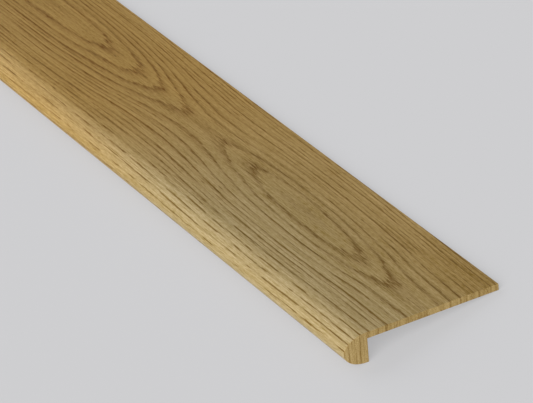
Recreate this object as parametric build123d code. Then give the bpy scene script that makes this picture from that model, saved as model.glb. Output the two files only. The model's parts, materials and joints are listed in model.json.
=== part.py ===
"""Stair tread molding: one length of solid oak that caps an old step.

The section is a thin board with a thick nosing along its front. The nosing is rounded by two
quarter-ellipses that meet at its front: a longer one that starts from the walking face above the back
of the lip, and a shorter one that ends in the flat foot of the lip. The lip hangs below the board and
covers the front of the step. The length runs along X, the nosing faces -Y and the walking face is up.
The molding lies as it does unheld on a level floor: on the foot of the lip and on the lower back edge
of the board, so that the board slopes down to the back.
"""
import os
from math import atan2, degrees

from build123d import *

# Driving dimensions, in millimetres
LENGTH = 1524.0          # one stock length, from sawn end to sawn end
BOARD_DEPTH = 237.0      # flat underside, from the back of the lip to the back edge
BOARD_THICKNESS = 11.0   # walking face to underside
NOSING_HEIGHT = 52.0     # walking face to the foot of the lip
NOSING_REACH = 42.5      # front of the round to the back of the lip
LIP_FOOT = 4.0           # flat foot between the round and the back of the lip
EASED_EDGE = 0.5         # radius sanded on every outer edge

# Heights above the foot of the lip, in the level section
underside = NOSING_HEIGHT - BOARD_THICKNESS
round_centre = NOSING_HEIGHT / 2


def section():
    """Level section in the YZ plane, with Y = 0 at the back of the lip and Z = 0 at its foot."""
    with BuildSketch(Plane.YZ) as sketch:
        with BuildLine():
            upper_round = EllipticalCenterArc(
                center=(0, round_centre),
                x_radius=NOSING_REACH,
                y_radius=round_centre,
                start_angle=90,
                arc_size=90,
            )
            lower_round = EllipticalCenterArc(
                center=(-LIP_FOOT, round_centre),
                x_radius=NOSING_REACH - LIP_FOOT,
                y_radius=round_centre,
                start_angle=180,
                arc_size=90,
            )
            Polyline(
                lower_round @ 1,
                (0, 0),
                (0, underside),
                (BOARD_DEPTH, underside),
                (BOARD_DEPTH, NOSING_HEIGHT),
                upper_round @ 0,
            )
        make_face()
    return sketch.sketch


def sharp_corners(blank):
    """The long edges of the blank that are sanded: both at the back, and the lip's foot."""
    long_edges = blank.edges().filter_by(Axis.X)
    back_edges = long_edges.group_by(Axis.Y)[-1]
    foot_edge = long_edges.group_by(Axis.Z)[0].sort_by(Axis.Y)[-1]
    return [*back_edges, foot_edge]


def level_molding():
    """The whole molding with its walking face level and every outer edge eased."""
    blank = extrude(section(), amount=LENGTH / 2, both=True)
    end_edges = blank.faces().filter_by(Axis.X).edges()
    return fillet([*sharp_corners(blank), *end_edges], EASED_EDGE)


def laid_on_floor(molding):
    """Tips the back edge down to the floor and centres the molding over the origin."""
    slope = degrees(atan2(underside, BOARD_DEPTH))
    tipped = Rot(X=-slope) * molding
    box = tipped.bounding_box()
    return Pos(-box.center().X, -box.center().Y, -box.min.Z) * tipped


tread_molding = laid_on_floor(level_molding())
tread_molding.label = "tread_molding"

os.makedirs("parts", exist_ok=True)
export_step(tread_molding, "parts/tread_molding.step")

size = tread_molding.bounding_box().size
print(f"tread_molding: {size.X:.3f} x {size.Y:.3f} x {size.Z:.3f} mm")
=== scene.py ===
# %% [markdown]
# A length of oak stair tread molding.
# The molding caps an old step. It is one piece of oak: a thin board to walk on, a thick rounded nosing
# along its front, and a lip behind the nosing that hangs over the edge of the step.
# The CAD frame holds the true sizes and the way the molding lies on the floor, so the lesson starts from
# it. What is left for Blender is the surface: smooth rounds, eased edges and the grain of the oak.

# %% Load the CAD frame
import json
import math

import bmesh
import bpy
from mathutils import Matrix, Vector


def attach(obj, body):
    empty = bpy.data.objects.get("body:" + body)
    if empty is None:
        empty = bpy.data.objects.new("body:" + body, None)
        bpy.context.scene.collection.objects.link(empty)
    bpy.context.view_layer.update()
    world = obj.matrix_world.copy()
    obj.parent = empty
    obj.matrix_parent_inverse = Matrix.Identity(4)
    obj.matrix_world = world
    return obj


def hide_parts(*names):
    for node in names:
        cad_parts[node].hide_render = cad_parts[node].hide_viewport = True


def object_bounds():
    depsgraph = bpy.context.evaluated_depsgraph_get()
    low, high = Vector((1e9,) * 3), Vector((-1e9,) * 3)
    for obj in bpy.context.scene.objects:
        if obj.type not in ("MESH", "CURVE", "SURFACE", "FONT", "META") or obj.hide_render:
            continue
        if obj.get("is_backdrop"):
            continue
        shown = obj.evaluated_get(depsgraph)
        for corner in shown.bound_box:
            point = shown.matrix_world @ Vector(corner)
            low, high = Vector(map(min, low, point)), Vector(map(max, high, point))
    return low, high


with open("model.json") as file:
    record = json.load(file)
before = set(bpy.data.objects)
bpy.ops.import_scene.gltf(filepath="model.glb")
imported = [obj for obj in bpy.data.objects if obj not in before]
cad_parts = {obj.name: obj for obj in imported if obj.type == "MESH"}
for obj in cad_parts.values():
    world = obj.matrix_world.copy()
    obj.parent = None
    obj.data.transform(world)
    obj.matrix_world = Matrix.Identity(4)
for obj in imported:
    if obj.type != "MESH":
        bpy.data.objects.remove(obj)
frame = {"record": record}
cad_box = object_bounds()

SHOWN_DIGITS = 4


def rounded(values):
    """Numbers that are short enough to print."""
    return tuple(round(value, SHOWN_DIGITS) for value in values)


print("CAD box from", rounded(cad_box[0]), "to", rounded(cad_box[1]))

# %% [markdown]
# The sizes of the section.
# They could be typed in a second time, but a change in the CAD model would then leave this file behind.
# The frame's record says where each flat face of the molding is and which way it looks, so every size is
# measured between those faces. The board slopes a little as it lies, so distances are taken along the
# board and square to it, and not along the floor.

# %% Measure the section between its faces
MM = 1000.0
faces = {mount["name"]: mount for mount in frame["record"]["mounts"]}
along = Vector((1, 0, 0))
backward = Vector(faces["lip_back"]["axis"])
upward = -Vector(faces["underside"]["axis"])


def spot(name):
    """The middle of a named flat face, in metres."""
    return Vector(faces[name]["pos_m"])


def distance(start, stop, direction):
    """How far one face lies from another, measured along a direction."""
    return (spot(stop) - spot(start)).dot(direction)


length = distance("end_left", "end_right", along)
board_depth = distance("lip_back", "back_edge", backward)
lip_height = 2 * distance("lip_back", "underside", upward)
board_thickness = 2 * distance("underside", "back_edge", upward)
lip_foot = distance("end_right", "lip_back", backward)
nosing_height = lip_height + board_thickness
round_middle = nosing_height / 2
reach_on_floor = spot("end_right").y - cad_box[0].y
low_reach = math.sqrt(reach_on_floor**2 - (round_middle * upward.y) ** 2) / backward.y
nosing_reach = low_reach + lip_foot
slope = math.atan2(upward.y, upward.z)
print(f"nosing {nosing_height * MM:.1f} mm high, {nosing_reach * MM:.1f} mm round")
print(f"board {board_depth * MM:.1f} x {board_thickness * MM:.1f} mm")
print(f"slope {math.degrees(slope):.2f} degrees")

# %% [markdown]
# The camera.
# A long lens far away shows the molding's long edges almost parallel. Such a camera is easiest to set by
# the point it looks at, the angles round that point, the distance, and a roll about the line of sight.
# The roll is needed because the walking face, and not the floor, is nearly level in the picture.

# %% Place the camera
LOOK_AT = Vector((0.3163, -0.0125, 0.0372))
VIEW_AZIMUTH = 67.726
VIEW_ELEVATION = 33.206
VIEW_ROLL = math.radians(15.382)
VIEW_DISTANCE = 6.5768
VIEW_DEPTH = 100.0
LENS_MM = 276.9
SENSOR_MM = 36.0


def towards(azimuth, elevation):
    """The direction of a place at the given angles, in degrees, from the front and from the floor."""
    turn = math.radians(azimuth)
    lift = math.radians(elevation)
    return Vector((math.sin(turn) * math.cos(lift), -math.cos(turn) * math.cos(lift), math.sin(lift)))


towards_camera = towards(VIEW_AZIMUTH, VIEW_ELEVATION)
camera_data = bpy.data.cameras.new("camera")
camera_data.sensor_fit = "HORIZONTAL"
camera_data.sensor_width = SENSOR_MM
camera_data.lens = LENS_MM
camera_data.clip_end = VIEW_DEPTH
camera = bpy.data.objects.new("camera", camera_data)
bpy.context.scene.collection.objects.link(camera)
level_view = (-towards_camera).to_track_quat("-Z", "Y").to_matrix()
rolled_view = level_view @ Matrix.Rotation(-VIEW_ROLL, 3, "Z")
camera.matrix_world = rolled_view.to_4x4()
camera.location = LOOK_AT + towards_camera * VIEW_DISTANCE
bpy.context.scene.camera = camera
print("camera at", rounded(camera.location))

# %% [markdown]
# The outline of the section.
# On the real molding a shaped cutter runs along the stock and leaves the same outline everywhere. In
# Blender that outline is drawn once. The nosing is two quarter-ellipses: a circle is added, pressed out to
# the lower round's reach, and its back half cut away. The upper quarter is then stretched to start further
# back, above the lip's back. The last point below is pulled out four times, along the lip's foot, up the
# lip's back, along the underside and up the back edge.
# A bevel on a box could give a round too, but only a circular one, and this nosing is longer than high.

# %% Draw the lower round
NOSING_FACETS = 72
QUARTER_TURN = math.radians(90)
left_end = -length / 2
round_centre = (left_end, -lip_foot, round_middle)

bpy.ops.object.select_all(action="DESELECT")
bpy.ops.mesh.primitive_circle_add(
    vertices=2 * NOSING_FACETS,
    radius=round_middle,
    fill_type="NOTHING",
    location=round_centre,
    rotation=(QUARTER_TURN, 0, QUARTER_TURN),
)
molding = bpy.context.object
molding.name = "oak_tread_molding"
bpy.ops.object.transform_apply(location=True, rotation=True, scale=True)
bpy.ops.object.mode_set(mode="EDIT")
bpy.ops.mesh.select_all(action="SELECT")
bpy.ops.transform.resize(value=(1, low_reach / round_middle, 1), center_override=round_centre)
bpy.ops.mesh.bisect(plane_co=round_centre, plane_no=(0, 1, 0), clear_outer=True)
print("points on the front half:", len(bmesh.from_edit_mesh(molding.data).verts))


# %% Stretch the upper round
def select(kind, test):
    """Selects the edited mesh's verts, edges or faces that pass a test, and says how many."""
    mode = {"verts": "VERT", "edges": "EDGE", "faces": "FACE"}[kind]
    bpy.ops.mesh.select_mode(type=mode)
    bpy.ops.mesh.select_all(action="DESELECT")
    mesh = bmesh.from_edit_mesh(bpy.context.object.data)
    chosen = [part for part in getattr(mesh, kind) if test(part)]
    for part in chosen:
        part.select_set(True)
    mesh.select_flush_mode()
    bmesh.update_edit_mesh(bpy.context.object.data)
    return len(chosen)


upper_points = select("verts", lambda point: point.co.z > round_middle)
nosing_front = (left_end, -nosing_reach, round_middle)
bpy.ops.transform.resize(value=(1, nosing_reach / low_reach, 1), center_override=nosing_front)
print("points on the upper round:", upper_points)

# %% Pull the outline round to the back edge
SAME_PLACE = 1e-5
lowest = select("verts", lambda point: point.co.z < SAME_PLACE)
for step in (
    (0, lip_foot, 0),
    (0, 0, lip_height),
    (0, board_depth, 0),
    (0, 0, board_thickness),
):
    bpy.ops.mesh.extrude_vertices_move(TRANSFORM_OT_translate={"value": step})
bpy.ops.mesh.select_all(action="SELECT")
bpy.ops.mesh.edge_face_add()
outline = bmesh.from_edit_mesh(molding.data)
print("started from", lowest, "point")
print("outline has", len(outline.verts), "points and", len(outline.faces), "face")

# %% [markdown]
# The length.
# The face is drawn out along the molding's length, as the cutter does it. The outer edges of real stock
# are never knife sharp, because the finisher sands them, so each sharp outer edge gets a small bevel that
# catches a thin line of light. Only convex edges are chosen: the inner corner, where the lip meets the
# underside, is cut square and stays square.

# %% Draw out the length and ease the edges
EASED_EDGE = 0.0005
EASED_STEPS = 4
EASED_ROUND = 0.5
SHARP = math.radians(30)

bpy.ops.mesh.extrude_region_move(TRANSFORM_OT_translate={"value": (length, 0, 0)})
bpy.ops.mesh.select_all(action="SELECT")
bpy.ops.mesh.normals_make_consistent(inside=False)
sharp_edges = select("edges", lambda edge: edge.calc_face_angle_signed(0) > SHARP)
bpy.ops.mesh.bevel(
    offset=EASED_EDGE,
    segments=EASED_STEPS,
    profile=EASED_ROUND,
    affect="EDGES",
    clamp_overlap=False,
)
bpy.ops.object.mode_set(mode="OBJECT")
print("eased", sharp_edges, "edges, mesh has", len(molding.data.polygons), "faces")

# %% [markdown]
# Smooth shading without bent flats.
# Smooth shading blends the light over each edge, which the round needs. It also bends the light over the
# wide flat faces next to the narrow eased edges, which would make the board look swollen. A Weighted
# Normal modifier lets the wide faces decide, so that the flats stay flat. The molding is then laid on the
# floor where the frame holds it, with its place in its mesh.

# %% Shade the molding and lay it on the floor
SMOOTH_BELOW = math.radians(40)

bpy.ops.object.shade_smooth_by_angle(angle=SMOOTH_BELOW)
flats = molding.modifiers.new("flats_stay_flat", "WEIGHTED_NORMAL")
flats.keep_sharp = True
bpy.ops.object.modifier_apply(modifier=flats.name)

level_to_floor = Matrix((along, backward, upward)).transposed().to_4x4()
level_to_floor.translation = spot("lip_back") - upward * lip_height / 2
molding.matrix_world = level_to_floor
bpy.ops.object.transform_apply(location=True, rotation=True, scale=True)
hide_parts("tread_molding")
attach(molding, "root")
laid_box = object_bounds()
print("laid from", rounded(laid_box[0]), "to", rounded(laid_box[1]))

# %% [markdown]
# Writing shader maths.
# Oak needs a lot of arithmetic, and a Math node for every plus and times is hard to read. A small class
# can hold one socket and turn Python's own operators into Math nodes, so that a formula in this file
# looks like a formula. Every other kind of node comes from its one method, node. The method ramp is used
# most. A name with two numbers says where a ramp starts and stops, and one with four numbers also says
# which values it starts and stops at.


# %% A class for formulas made of nodes
class Wire:
    """One output of a node in the current tree. Arithmetic on wires adds Math nodes."""

    tree = None

    def __init__(self, socket):
        self.socket = socket

    @classmethod
    def node(cls, kind, settings=None, inputs=None, out=0):
        """Adds a shader node, sets it up, feeds its inputs and returns one of its outputs, if it has any."""
        node = cls.tree.nodes.new("ShaderNode" + kind)
        for name, value in (settings or {}).items():
            if name == "curve":
                draw_curve(node.mapping, value)
            else:
                setattr(node, name, value)
        for name, value in (inputs or {}).items():
            if isinstance(value, Wire):
                cls.tree.links.new(value.socket, node.inputs[name])
            else:
                node.inputs[name].default_value = value
        return cls(node.outputs[out]) if node.outputs else None

    @classmethod
    def math(cls, operation, *values):
        return cls.node("Math", {"operation": operation}, dict(enumerate(values)))

    def __add__(self, other):
        return Wire.math("ADD", self, other)

    def __radd__(self, other):
        return Wire.math("ADD", other, self)

    def __sub__(self, other):
        return Wire.math("SUBTRACT", self, other)

    def __rsub__(self, other):
        return Wire.math("SUBTRACT", other, self)

    def __mul__(self, other):
        return Wire.math("MULTIPLY", self, other)

    def __rmul__(self, other):
        return Wire.math("MULTIPLY", other, self)

    def __truediv__(self, other):
        return Wire.math("DIVIDE", self, other)

    def __rtruediv__(self, other):
        return Wire.math("DIVIDE", other, self)

    def __pow__(self, other):
        return Wire.math("POWER", self, other)

    def __abs__(self):
        return Wire.math("ABSOLUTE", self)

    def sqrt(self):
        return Wire.math("SQRT", self)

    def fraction(self):
        return Wire.math("FRACT", self)

    def floor(self):
        return Wire.math("FLOOR", self)

    def larger(self, other):
        return Wire.math("MAXIMUM", self, other)

    def ramp(self, start, stop, low=0.0, high=1.0):
        """Goes smoothly from low to high while this value goes from start to stop."""
        settings = {"interpolation_type": "SMOOTHSTEP"}
        limits = {"From Min": start, "From Max": stop, "To Min": low, "To Max": high}
        return Wire.node("MapRange", settings, {"Value": self, **limits})


def draw_curve(mapping, points):
    """Sets the points of a Float Curve node, which starts with two, from left to right."""
    curve = mapping.curves[0]
    for _ in points[2:]:
        curve.points.new(0, 0)
    for point, place in zip(curve.points, points):
        point.location = place
        point.handle_type = "AUTO_CLAMPED"
    mapping.update()


def vector_math(operation, *values):
    """Adds a Vector Math node, which works on colours too."""
    return Wire.node("VectorMath", {"operation": operation}, dict(enumerate(values)))


def start_nodes(owner):
    """Empties the nodes of a material or world, and lets the next wires go there."""
    owner.use_nodes = True
    owner.node_tree.nodes.clear()
    Wire.tree = owner.node_tree


oak = bpy.data.materials.new("satin_oak")
start_nodes(oak)
print("empty material", oak.name)

# %% [markdown]
# Coordinates of the plank.
# Wood is a solid with a pattern inside, and its faces are cuts through that pattern. The pattern is
# therefore worked out from the place in space, so that the board, the nosing and the sawn ends agree at
# every edge. Object coordinates lie along the floor, while the plank slopes, so a Mapping node turns them
# back to the level section and counts in millimetres from the right-hand end, the lip's back and its foot.
# A picture wrapped round the molding would be quicker, but it would not run through from face to face.

# %% Turn object coordinates to plank coordinates
level_start = -(level_to_floor.to_3x3().transposed() @ level_to_floor.translation)
plank = Wire.node("Mapping", {"vector_type": "POINT"}, {
    "Vector": Wire.node("TexCoord", out="Object"),
    "Location": (-length / 2 * MM, level_start.y * MM, level_start.z * MM),
    "Rotation": (slope, 0, 0),
    "Scale": (MM, MM, MM),
})
x, y, z = (Wire.node("SeparateXYZ", inputs={"Vector": plank}, out=axis) for axis in "XYZ")
print("plank origin moved by", rounded(level_start))

# %% [markdown]
# Noise that follows the grain.
# Almost everything in wood is long and thin, because the cells of the tree are. The noise is therefore
# stretched: each one says how long its marks run along the plank and how wide they are across it, both in
# millimetres. The shift moves a noise to a place of its own, so that no two of them show the same marks.

# %% Stretch noise along the grain
GRAIN_ROUGHNESS = 0.55
NOISE_MIDDLE = 0.5


def plank_noise(scale, shift, detail, roughness):
    """Noise from 0 to 1 at the plank's coordinates, which are scaled and shifted first."""
    place = vector_math("MULTIPLY_ADD", plank, scale, (shift, shift, shift))
    look = {"Scale": 1.0, "Detail": detail, "Roughness": roughness}
    return Wire.node("TexNoise", inputs={"Vector": place, **look})


def grain_noise(run, width, detail=2.0, shift=0.0):
    """Noise from 0 to 1 whose marks are run mm long along the plank and width mm wide across it."""
    return plank_noise((1 / run, 1 / width, 1 / width), shift, detail, GRAIN_ROUGHNESS)


def grain_swing(**marks):
    """The same noise, swinging evenly round 0."""
    return grain_noise(**marks) - NOISE_MIDDLE


print("grain noise swings round", NOISE_MIDDLE)

# %% [markdown]
# Growth rings.
# A tree grows in rings round its pith, and a flat-sawn plank cuts them almost edge on. Where the cut runs
# deeper or shallower the rings come out as nested arches, and where it dips and comes back they close to an
# island. So the ring number is the distance from the pith line, plus a curve that says how the cut wanders
# through the rings along the plank. The wander fades towards the sides, where the rings run straight.
# A wave texture would be simpler, but its bands never close to arches and islands.

# %% Measure sideways from the pith
PITH_FROM_LIP = 116.0
NOSING_LEAN = 1.1
NOSING_BEGINS = (4.0, -20.0)
LONG_SWAY = {"run": 300.0, "width": 60.0, "detail": 1.0}
LONG_SWAY_MM = 6.0
SHORT_SWAY = {"run": 110.0, "width": 9.0, "shift": 4.0}
SHORT_SWAY_MM = 0.8

sway = grain_swing(**LONG_SWAY) * LONG_SWAY_MM
sway = sway + grain_swing(**SHORT_SWAY) * SHORT_SWAY_MM
on_nosing = y.ramp(*NOSING_BEGINS)
off_nosing = 1.0 - on_nosing
below_face = nosing_height * MM - z
sideways = y - PITH_FROM_LIP + sway - below_face * on_nosing * NOSING_LEAN
print("pith line", PITH_FROM_LIP, "mm behind the lip")

# %% Skew the pith line along the plank
SKEW = 0.036
SKEW_CROSSES = -385.0
SKEW_STOPS = -1085.0
SKEW_WIDTH = 95.0
SQUARED = 2.0
FRONT_WIDER = 0.07

skew = (x.larger(SKEW_STOPS) - SKEW_CROSSES) * SKEW
from_pith = sideways + skew / (1 + (sideways / SKEW_WIDTH) ** SQUARED)
from_pith = from_pith * (1 - FRONT_WIDER) + abs(from_pith) * FRONT_WIDER
print("pith line crosses the plank's own line", -SKEW_CROSSES, "mm from the right-hand end")

# %% Let the cut wander through the rings
PITH_BELOW_FACE = 26.0
RING_WIDTH = 14.0
RING_LEAN = 0.35
ISLAND_TO_ARCHES = (-650.0, -1100.0)
# The values at the island and at the arches
HALF_WIDTHS = (57.0, 82.0)
FADES = (2.0, 4.0)
WANDER_RINGS = 5.0
WANDER_TOP = 0.5
# Each point: the share of the length from the far end, and the share of the wander
WANDER = (
    (0.000, 0.130),
    (0.114, 0.145),
    (0.213, 0.180),
    (0.283, 0.300),
    (0.359, 0.500),
    (0.409, 0.700),
    (0.475, 0.900),
    (0.521, 0.960),
    (0.567, 0.900),
    (0.638, 0.700),
    (0.747, 0.550),
    (0.865, 0.700),
    (0.933, 0.900),
    (1.000, 0.960),
)

half_width = x.ramp(*ISLAND_TO_ARCHES, *HALF_WIDTHS)
fade = x.ramp(*ISLAND_TO_ARCHES, *FADES)
nearness = 1 / (1 + (abs(from_pith) / half_width) ** fade)
wander = Wire.node("FloatCurve", {"curve": WANDER}, {"Value": x / (length * MM) + 1.0})
wander = wander * WANDER_RINGS + (WANDER_TOP - WANDER_RINGS)
height = PITH_BELOW_FACE - below_face * RING_LEAN
radius = (from_pith * from_pith + height * height).sqrt()
rings = (radius - PITH_BELOW_FACE) / RING_WIDTH + wander * nearness
print("ring formula uses", len(Wire.tree.nodes), "nodes so far")

# %% [markdown]
# Sawn ends and ragged tips.
# The saw cuts the two ends across the grain, so a thin skin there counts as end grain and gets a look of its
# own later. The end faces could have a second material, but then the rings would stop at the edge.
# The tips of the arches on a real board are ragged, like flames. Noise added to the ring number frays them:
# a lot at the pith, where the tips are, and a little at the sides.

# %% Mark the sawn ends and fray the tips
END_SKIN = 0.8
TIP_WIDTH = 40.0
FRAY = {"run": 45.0, "width": 3.2, "shift": 83.0}
SIDE_FRAY = 0.12
TIP_FRAY = 0.75
far_x = -length * MM

near_end = x.ramp(-END_SKIN, -END_SKIN / 2)
far_end = x.ramp(far_x + END_SKIN, far_x + END_SKIN / 2)
end_grain = near_end + far_end
long_grain = 1.0 - end_grain
tips = abs(from_pith).ramp(TIP_WIDTH, 0.0)
frayed = rings + grain_swing(**FRAY) * (SIDE_FRAY + TIP_FRAY * tips)
print("end grain is", END_SKIN, "mm deep at x 0 and at x", round(far_x))

# %% [markdown]
# Rows of pores.
# Each spring the oak grows a row of wide pores, and the saw opens them as a dark line at the start of every
# ring: a narrow core that is sharp on the inner side, and a soft band that fades on the outer. Both are ramps
# on the fraction of the ring number. Near the pith the saw meets the rings at a low angle, so the rows are
# broader there, and broadest in the island's inner ring. Weaker rows lie half a ring further on.
# A Wave or Brick texture draws even lines, and no line on oak is even.

# %% Draw a row where each ring starts
ISLAND_BEGINS = (-720.0, -560.0)
INNER_RING = (0.70, 0.85)
INNER_RING_BEGINS = (-640.0, -560.0)
INNER_RING_ENDS = (-150.0, -220.0)
INNER_RING_BROADER = 0.30
# Shares of a ring, in pairs at the sides and at the pith
BAND_SHARP = (0.10, 0.18)
BAND_FADES = (0.42, 0.60)
CORE_SHARP = (0.05, 0.09)
CORE_FADES = 0.22
SECOND_SHARP = 0.06
SECOND_FADES = 0.18
HALF_RING = 0.5


def towards_pith(at_sides, at_pith):
    """A value that changes from the sides of the plank to the pith."""
    return at_sides + (at_pith - at_sides) * nearness


def pore_row(count, sharp_side, fading_side):
    """1 where a ring starts, 0 at the given shares of a ring before and after it."""
    phase = count.fraction()
    return phase.ramp(fading_side, 0.0).larger(phase.ramp(1.0 - sharp_side, 1.0))


island = nearness * x.ramp(*ISLAND_BEGINS)
inner_ring = nearness.ramp(*INNER_RING) * x.ramp(*INNER_RING_BEGINS) * x.ramp(*INNER_RING_ENDS)
inner_ring = inner_ring * (1.0 - tips)
band_sharp = towards_pith(*BAND_SHARP) + INNER_RING_BROADER * inner_ring
band = pore_row(frayed, band_sharp, towards_pith(*BAND_FADES))
core = pore_row(frayed, towards_pith(*CORE_SHARP), CORE_FADES)
second_row = pore_row(frayed + HALF_RING, SECOND_SHARP, SECOND_FADES)
print("a band fades over", BAND_FADES[0], "of a ring at the sides and", BAND_FADES[1], "at the pith")

# %% [markdown]
# Strong rings and weak stretches.
# Some years open wider pores than others, so each ring gets a strength of its own: white noise on the ring's
# whole number, which is the same at every run. Along a line, long thin noise makes some stretches strong and
# others weak. The lines are bolder towards the near front, and on the nosing, where the round cuts the rows
# at a slant, they break into short dashes that grow weaker towards the foot.

# %% Give each ring and each stretch its strength
FIRST_STRENGTH = 16.0
LEAST_OPEN = 0.80
OPENS_BY = 0.40
STRETCHES = {"run": 170.0, "width": 7.0, "detail": 1.0, "shift": 23.0}
STRETCH_RAMP = (0.36, 0.58, 0.45, 1.0)
LEAST_AT_PITH = 0.8
NEAR_FRONT_ALONG = (-900.0, -300.0)
NEAR_FRONT_ACROSS = (90.0, 50.0)
NEAR_FRONT_BOLDER = 0.35

ring_draw = {"W": frayed.floor() + FIRST_STRENGTH}
openness = LEAST_OPEN + OPENS_BY * Wire.node("TexWhiteNoise", {"noise_dimensions": "1D"}, ring_draw)
stretches = grain_noise(**STRETCHES).ramp(*STRETCH_RAMP).larger(nearness * LEAST_AT_PITH)
near_front = x.ramp(*NEAR_FRONT_ALONG) * y.ramp(*NEAR_FRONT_ACROSS)
stretches = stretches * (1.0 + NEAR_FRONT_BOLDER * near_front)
print("rings open from", LEAST_OPEN, "to", LEAST_OPEN + OPENS_BY)

# %% Break the lines into dashes on the nosing
DASHES = {"run": 48.0, "width": 3.4, "detail": 1.0, "shift": 29.0}
DASH_RAMP = (0.40, 0.56, 0.15, 1.0)
DASHES_ALONG = (-850.0, -400.0, 0.90, 1.70)
DASHES_DOWN = (6.0, 18.0, 1.0, 0.7)
DASHES_NEAR_FOOT = (29.0, 36.0, 1.0, 0.45)
DASHES_BEGIN = (16.0, -8.0)

dashes = grain_noise(**DASHES).ramp(*DASH_RAMP)
dashes = dashes * x.ramp(*DASHES_ALONG) * below_face.ramp(*DASHES_DOWN) * below_face.ramp(*DASHES_NEAR_FOOT)
stretches = stretches + (dashes - stretches) * y.ramp(*DASHES_BEGIN)
print("dashes on the nosing are about", DASHES["run"], "mm long")

# %% [markdown]
# Adding the rows up.
# The weaker rows show only where the rings run straight: at the sides and in the far front of the board. The
# band carries most of the dark near the pith, and the core most of it at the sides and on the nosing, where
# lines are narrow and clear. The tip nearest to the sawn end is the darkest. On the sawn ends the rows are
# cut across: they fade on the thin end of the board and nearly vanish on the end of the lip.

# %% Choose where the weaker rows show
SECOND_STRETCHES = {"run": 150.0, "width": 6.0, "detail": 1.0, "shift": 71.0}
SECOND_RAMP = (0.35, 0.57)
STRAIGHT_SIDES = (0.70, 0.35)
FAR_FRONT_ALONG = (-680.0, -800.0)
FAR_FRONT_ACROSS = (98.0, 78.0)
SECOND_DARK = 0.8

far_front = y.ramp(*FAR_FRONT_ACROSS) * x.ramp(*FAR_FRONT_ALONG)
straight = nearness.ramp(*STRAIGHT_SIDES).larger(far_front) * off_nosing
second_row = second_row * grain_noise(**SECOND_STRETCHES).ramp(*SECOND_RAMP) * straight * SECOND_DARK
print("weaker rows are at most", SECOND_DARK, "dark")

# %% Add up the rows
BAND_DARK = (0.30, 0.56)
ISLAND_FAINTER = 0.08
INNER_RING_DARKER = 0.14
CORE_DARK = (0.65, 0.27)
NOSING_CLEARER = 0.35
BESIDE_PITH = (20.0, 65.0)
BESIDE_CLEARER = 0.25
NEAR_TIP_BEGINS = (-190.0, -140.0)
NEAR_TIP_ENDS = (-60.0, -100.0)
NEAR_TIP_DARKER = 0.5
SAWN_FADE = (8.0, -4.0, 0.4, 0.9)

beside = abs(from_pith).ramp(*BESIDE_PITH) * off_nosing
near_tip = tips * x.ramp(*NEAR_TIP_BEGINS) * x.ramp(*NEAR_TIP_ENDS)
band_dark = towards_pith(*BAND_DARK) - ISLAND_FAINTER * island + INNER_RING_DARKER * inner_ring
core_dark = towards_pith(*CORE_DARK) + NOSING_CLEARER * on_nosing + BESIDE_CLEARER * beside
row = band_dark * band + core_dark * core
row = row * openness * stretches * (1.0 + NEAR_TIP_DARKER * near_tip)
row = (row + second_row) * (1.0 - end_grain * y.ramp(*SAWN_FADE))
print("rows use", len(Wire.tree.nodes), "nodes so far")

# %% [markdown]
# Single pores.
# All over the board, and most of all in the rows, the saw opens single pores lengthwise, as fine dark dashes.
# They are the peaks of a long thin noise. A row lowers the height from which a peak counts, so that more
# pores open there. Modelled as grooves they would need millions of faces.

# %% Scatter single pores
PORES = {"run": 26.0, "width": 1.8, "shift": 11.0}
PORE_PEAK = 0.66
ROW_LOWERS = 0.20
PORE_EDGE = 0.09
ROW_DARK = 0.75
PORE_DARK = 0.30
ROW_PORE_DARK = 0.6

peak = PORE_PEAK - ROW_LOWERS * row
pores = grain_noise(**PORES).ramp(peak, peak + PORE_EDGE)
pore_line = row * ROW_DARK + pores * (PORE_DARK + ROW_PORE_DARK * row)
print("pores are about", PORES["run"], "mm long and", PORES["width"], "mm wide")

# %% [markdown]
# The ground colour of the oak.
# Finished oak is a warm straw brown. A painted sheen makes it a little greyer and paler towards the near end,
# the front and the nosing, and leaves it more golden towards the far end and the back. One ramp along the
# plank and one across it mix the two colours, with broad clouds over them so that the change is never even.
# The colours are written as a screen shows them and turned to the linear light that a shader counts in.

# %% Turn screen colours to linear light
SCREEN_WHITE = 255
SCREEN_TOE = 0.04045
TOE_SLOPE = 12.92
SCREEN_OFFSET = 0.055
SCREEN_POWER = 2.4
# A Mix node has one set of sockets for each kind of data, so the colours' own are picked by number
MIX_COLOURS = (6, 7)
MIX_RESULT = 2


def linear(value):
    """One channel of a screen colour, from 0 to 255, as linear light."""
    share = value / SCREEN_WHITE
    if share <= SCREEN_TOE:
        return share / TOE_SLOPE
    return ((share + SCREEN_OFFSET) / (1 + SCREEN_OFFSET)) ** SCREEN_POWER


def screen_colour(red, green, blue):
    """A colour as a screen shows it, as the linear colour that a shader takes."""
    return (linear(red), linear(green), linear(blue), 1.0)


def mix(blend, amount, *colours):
    """Mixes the second colour into the first one by the given blend."""
    settings = {"data_type": "RGBA", "blend_type": blend}
    return Wire.node("Mix", settings, {"Factor": amount, **dict(zip(MIX_COLOURS, colours))}, out=MIX_RESULT)


GOLDEN_OAK = screen_colour(160, 127, 63)
# The pale colour is the oak under a painted sheen; the sawn ends are mixed towards it as their own paler tone
PALE_OAK_AND_SHEEN = screen_colour(162, 142, 97)
print("golden oak", rounded(GOLDEN_OAK), "pale oak", rounded(PALE_OAK_AND_SHEEN))

# %% Mix the ground colour
FAR_TO_NEAR = (-1050.0, -350.0)
# Painted sheen: with the ramp along the plank, this makes the oak paler and greyer towards the near front
SHEEN_BACK_TO_FRONT = (235.0, 15.0, 0.45, 1.0)
# Painted sheen on the round of the nosing
NOSING_PAINTED_SHEEN = 0.20
CLOUDS = {"run": 420.0, "width": 70.0, "detail": 1.0, "shift": 61.0}
CLOUDS_BY = 0.25
SAWN_PALENESS = 0.6

far_to_near = x.ramp(*FAR_TO_NEAR)
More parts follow.
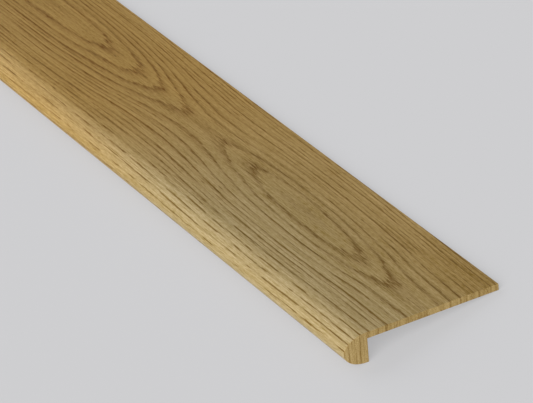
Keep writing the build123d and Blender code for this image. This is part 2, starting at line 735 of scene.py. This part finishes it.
# Painted sheen towards the near front and on the nosing
paleness_and_sheen = far_to_near * y.ramp(*SHEEN_BACK_TO_FRONT) + on_nosing * NOSING_PAINTED_SHEEN
paleness_and_sheen = paleness_and_sheen + grain_swing(**CLOUDS) * CLOUDS_BY
paleness_and_sheen = paleness_and_sheen * long_grain + SAWN_PALENESS * end_grain
ground = mix("MIX", paleness_and_sheen, GOLDEN_OAK, PALE_OAK_AND_SHEEN)
print("sawn ends are", SAWN_PALENESS, "pale")

# %% [markdown]
# Fine grain, gentle shades and painted light on the nosing.
# Between the rows the wood is full of fine light and dark streaks and short flecks, and broad bands of tone.
# They are summed up as one swing of lightness round 0. The swing is calmer round the pith and on the nosing,
# where the wood between the lines is plainer. The same swing carries the gentle shades of this plank:
# browner in the near back corner, a little darker along the pith and in the island, and a little paler in
# the near front. It also carries painted light and shade on the round: the whole nosing is painted a little
# lighter, its low front lighter again, and a painted shade darkens the front of the round where it turns
# down.

# %% Swing the lightness with fine grain
FINE = {"run": 80.0, "width": 1.9, "detail": 3.0, "shift": 31.0}
FINE_BY = 1.9
FLECKS = {"run": 11.0, "width": 1.8, "shift": 53.0}
FLECKS_BY = 1.6
BROAD = {"run": 260.0, "width": 14.0, "shift": 37.0}
BROAD_BY = 0.25
NOSING_CALMER = 0.3
PITH_CALMER = 0.4
BESIDE_CALMER = 0.25

liveliness = 1.0 - NOSING_CALMER * on_nosing - PITH_CALMER * nearness - BESIDE_CALMER * beside
swing = grain_swing(**FINE) * FINE_BY + grain_swing(**FLECKS) * FLECKS_BY
swing = swing * liveliness + grain_swing(**BROAD) * BROAD_BY
print("fine streaks are", FINE["width"], "mm wide, broad ones", BROAD["width"], "mm")

# %% Shade the plank by place and paint light and shade on the nosing
CORNER_ALONG = (-300.0, -40.0)
CORNER_ACROSS = (110.0, 215.0)
CORNER_DARKER = 0.22
PITH_DARKER = 0.09
ISLAND_DARKER = 0.06
# Painted light: the whole round of the nosing is painted a little lighter
NOSING_PAINTED_LIGHT = 0.05
# Painted shade on the front of the round, where it turns down
FRONT_OF_ROUND = (-18.0, -34.0)
ROUND_PAINTED_SHADE = 0.09
NEAR_FRONT_LIGHTER = 0.07
# Painted light low on the front of the nosing
LOW_FRONT = (20.0, 32.0)
LOW_FRONT_PAINTED_LIGHT = 0.08

darker = x.ramp(*CORNER_ALONG) * y.ramp(*CORNER_ACROSS) * CORNER_DARKER
# The last term is painted shade on the front of the round
darker = darker + nearness * PITH_DARKER + island * ISLAND_DARKER + y.ramp(*FRONT_OF_ROUND) * ROUND_PAINTED_SHADE
lighter = near_front * off_nosing * NEAR_FRONT_LIGHTER
# Painted light low on the front of the nosing
lighter = lighter + below_face.ramp(*LOW_FRONT) * on_nosing * LOW_FRONT_PAINTED_LIGHT
# The nosing term is painted light, which the sawn end of the nosing gets too
swing = swing + on_nosing * NOSING_PAINTED_LIGHT + (lighter - darker) * long_grain
print("near back corner darker by", CORNER_DARKER)

# %% [markdown]
# Rays on the sawn ends.
# Thin sheets of cells, the rays, run from the pith outwards. The long faces hide them, but a sawn end cuts
# them across, and they show there as upright streaks, some pale and some dark. So the noise for the ends is
# stretched upright, and not along the plank.

# %% Draw the rays upright
RAY_WIDTH = 4.0
RAY_HEIGHT = 120.0
RAY_SHIFT = 21.0
RAY_DETAIL = 3.0
RAY_ROUGHNESS = 0.65
RAY_MIDDLE = 0.46
RAY_SWING = 0.9
DARK_RAYS = (0.46, 0.37)
RAY_DARK = 0.5

rays = plank_noise((0.0, 1 / RAY_WIDTH, 1 / RAY_HEIGHT), RAY_SHIFT, RAY_DETAIL, RAY_ROUGHNESS)
swing = swing + (rays - RAY_MIDDLE) * end_grain * RAY_SWING
dark = pore_line.larger(rays.ramp(*DARK_RAYS) * end_grain * RAY_DARK)
print("rays are about", RAY_WIDTH, "mm apart")

# %% [markdown]
# The colour of streaks and lines.
# A darker streak in oak is also a warmer one: blue falls most and red least, so the swing has a tint. The
# dark lines are not a brown painted over the wood. They multiply it by a brown shade, so that the streaks
# run on through them. The shade is browner at the far end and greyer at the near end, as the ground is.

# %% Tint the streaks and darken the lines
SWING_TINT = (0.84, 1.0, 1.7)
EVEN_LIGHT = (1.06, 1.06, 1.06)
FAR_PORES = (0.45, 0.30, 0.05, 1.0)
NEAR_PORES = (0.45, 0.34, 0.14, 1.0)

lightness = vector_math("MULTIPLY_ADD", swing, SWING_TINT, EVEN_LIGHT)
streaked = vector_math("MULTIPLY", ground, lightness)
pore_shade = mix("MIX", far_to_near, FAR_PORES, NEAR_PORES)
colour = mix("MULTIPLY", dark, streaked, pore_shade)
print("colours use", len(Wire.tree.nodes), "nodes so far")

# %% [markdown]
# The finish.
# The molding is sold with a satin clear finish: smooth enough to reflect a pale sheen at a low angle, too
# rough to mirror anything. The pores stay slightly open under it, so they are a little rougher and a little
# sunken. They are far too fine to model, so a Bump node tilts the light there.

# %% Build the satin finish
SATIN = 0.45
PORE_ROUGHER = 0.14
SAWN_ROUGHER = 0.3
LINE_SINKS = 0.5
PORE_SINKS = 0.5
PORE_DEPTH = 0.00012
RELIEF = 0.5
SHEEN = 0.14

sunken = 1.0 - (pore_line * LINE_SINKS + pores * PORE_SINKS)
relief = Wire.node("Bump", inputs={"Strength": RELIEF, "Distance": PORE_DEPTH, "Height": sunken})
wood = Wire.node("BsdfPrincipled", inputs={
    "Base Color": colour,
    "Roughness": SATIN + PORE_ROUGHER * pore_line + SAWN_ROUGHER * end_grain,
    "Normal": relief,
    "Specular IOR Level": SHEEN,
})
Wire.node("OutputMaterial", inputs={"Surface": wood})
molding.data.materials.clear()
molding.data.materials.append(oak)
print("satin oak has", len(oak.node_tree.nodes), "nodes")

# %% [markdown]
# The floor.
# The stage is one wide pale floor. A matt floor alone would darken round the molding, and a glowing one
# would lose its shadow, so the two are mixed: what the camera sees is mostly an even pale grey, with a soft,
# weak shadow left in it. To the light the floor stays a matt sheet of paper.

# %% Lay the floor
BACKDROP = screen_colour(206, 206, 208)
FLOOR = screen_colour(210, 210, 212)
FLOOR_SIZE = 60.0
SHADOW_LIFT = 0.65
SHOWING_RAYS = ("Is Camera Ray", "Is Glossy Ray", "Is Transmission Ray")

bpy.ops.object.select_all(action="DESELECT")
bpy.ops.mesh.primitive_plane_add(size=FLOOR_SIZE, location=(0, 0, cad_box[0].z))
floor = bpy.context.object
floor.name = "floor"
floor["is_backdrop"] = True
paper = bpy.data.materials.new("pale_paper")
start_nodes(paper)


def backdrop_rays():
    """1 for rays that show the backdrop: from the camera, off a glossy surface or through glass."""
    from_camera, off_gloss, through_glass = (Wire.node("LightPath", out=name) for name in SHOWING_RAYS)
    return from_camera.larger(off_gloss).larger(through_glass)


matt_paper = Wire.node("BsdfDiffuse", inputs={"Color": FLOOR})
bright_paper = Wire.node("Emission", inputs={"Color": BACKDROP})
brightness = backdrop_rays() * SHADOW_LIFT
lifted_paper = Wire.node("MixShader", inputs={0: brightness, 1: matt_paper, 2: bright_paper})
Wire.node("OutputMaterial", inputs={"Surface": lifted_paper})
floor.data.materials.append(paper)
print("floor", FLOOR_SIZE, "m wide")

# %% [markdown]
# The light.
# Two sun lamps with wide discs stand in for large soft lamps. The stronger one, low at the front right,
# lights the nosing most, then the sawn end, then the board. The weaker one at the left fills the shadow
# side of the round. Area lamps close by would do it too, but they would leave bright patches on the
# floor. A dim even surround lights what the lamps miss, and looks to the camera like the floor.

# %% Light the molding
SURROUND = (0.22, 0.22, 0.22, 1.0)
LAMP_WIDTH = math.radians(60)
FRONT_LAMP = {"azimuth": 40, "elevation": 30, "light": 1.05}
LEFT_LAMP = {"azimuth": -75, "elevation": 28, "light": 0.46}


def soft_lamp(name, azimuth, elevation, light):
    """A wide sun lamp that shines from the given angles, in degrees, at the given strength."""
    lamp_data = bpy.data.lights.new(name, "SUN")
    lamp_data.energy = light * math.pi
    lamp_data.angle = LAMP_WIDTH
    lamp = bpy.data.objects.new(name, lamp_data)
    bpy.context.scene.collection.objects.link(lamp)
    lamp.rotation_euler = towards(azimuth, elevation).to_track_quat("Z", "Y").to_euler()


soft_lamp("front_lamp", **FRONT_LAMP)
soft_lamp("left_lamp", **LEFT_LAMP)

surround = bpy.data.worlds.new("pale_surround")
start_nodes(surround)
sky_colour = mix("MIX", backdrop_rays(), SURROUND, BACKDROP)
sky = Wire.node("Background", inputs={"Color": sky_colour})
Wire.node("OutputWorld", inputs={"Surface": sky})
bpy.context.scene.world = surround
bpy.context.scene.view_settings.view_transform = "Standard"
print("two soft lamps and a pale surround")

# %% [markdown]
# The last look at the size. Dressing the molding must not change its size.

# %% Measure the dressed box and finish
dressed_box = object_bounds()
print("dressed box from", rounded(dressed_box[0]), "to", rounded(dressed_box[1]))
